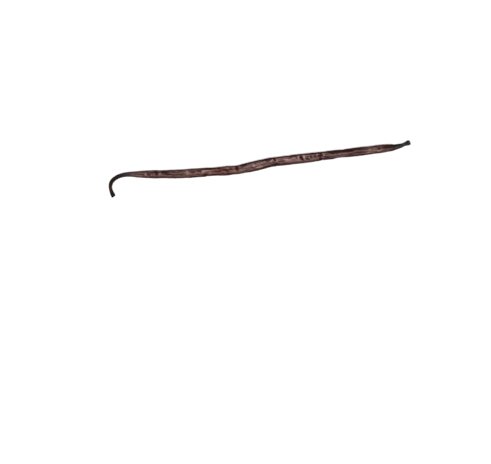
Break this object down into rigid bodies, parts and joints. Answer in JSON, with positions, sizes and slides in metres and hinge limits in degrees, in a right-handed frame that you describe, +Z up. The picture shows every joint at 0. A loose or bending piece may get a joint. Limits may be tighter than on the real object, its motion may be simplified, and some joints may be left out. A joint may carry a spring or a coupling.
{
  "type": "vanilla pod",
  "caption": "Cured vanilla pod lying on its side: a long, thin, flattened dark brown pod with lengthwise folds, a thin hooked neck at the stalk end and a small scar at the blossom end.",
  "frame": {"origin": "below the middle of the pod's bounding box, on the surface that the pod lies on", "axes": "+X along the body, from the hooked stalk end to the blossom end; +Z up, away from the surface; the stalk hooks towards -Y"},
  "size_m": [0.1632, 0.0138, 0.0042],
  "materials": {
    "pod_skin": "cured pod skin: dark reddish brown, leathery and wrinkled lengthwise, with a dull oily sheen; darker furrows, near-black neck and tip, and dusty paler crests"
  },
  "bodies": {
    "root": {"pod": "pod_skin"}
  },
  "joints": []
}
